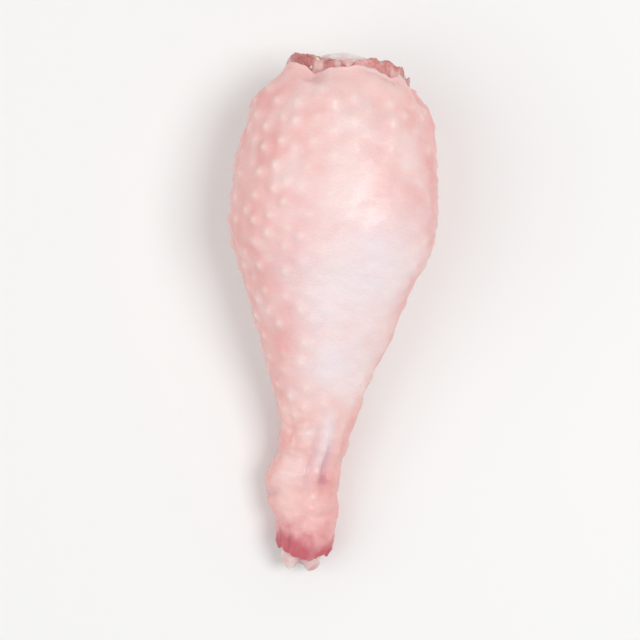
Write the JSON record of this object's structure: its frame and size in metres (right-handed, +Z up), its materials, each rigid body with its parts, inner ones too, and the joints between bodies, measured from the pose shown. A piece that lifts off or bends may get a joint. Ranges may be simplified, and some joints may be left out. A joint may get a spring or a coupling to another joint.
{
  "type": "raw chicken drumstick",
  "caption": "Raw chicken drumstick lying on its side: plump meat in pimpled pale skin, with the leg bone's cartilage knuckle showing at the ankle and at the knee.",
  "frame": {"origin": "middle of the footprint's bounding box, on the surface that the drumstick lies on", "axes": "+Y along the leg towards the knee, +Z up, +X across"},
  "size_m": [0.0474, 0.118, 0.0377],
  "materials": {
    "raw_skin": "moist satin, pale pink and cream with feather follicles",
    "cartilage": "wet, milky white with a faint blue and pink cast"
  },
  "bodies": {
    "root": {"meat_and_skin": "raw_skin", "leg_bone": "cartilage"}
  },
  "joints": []
}
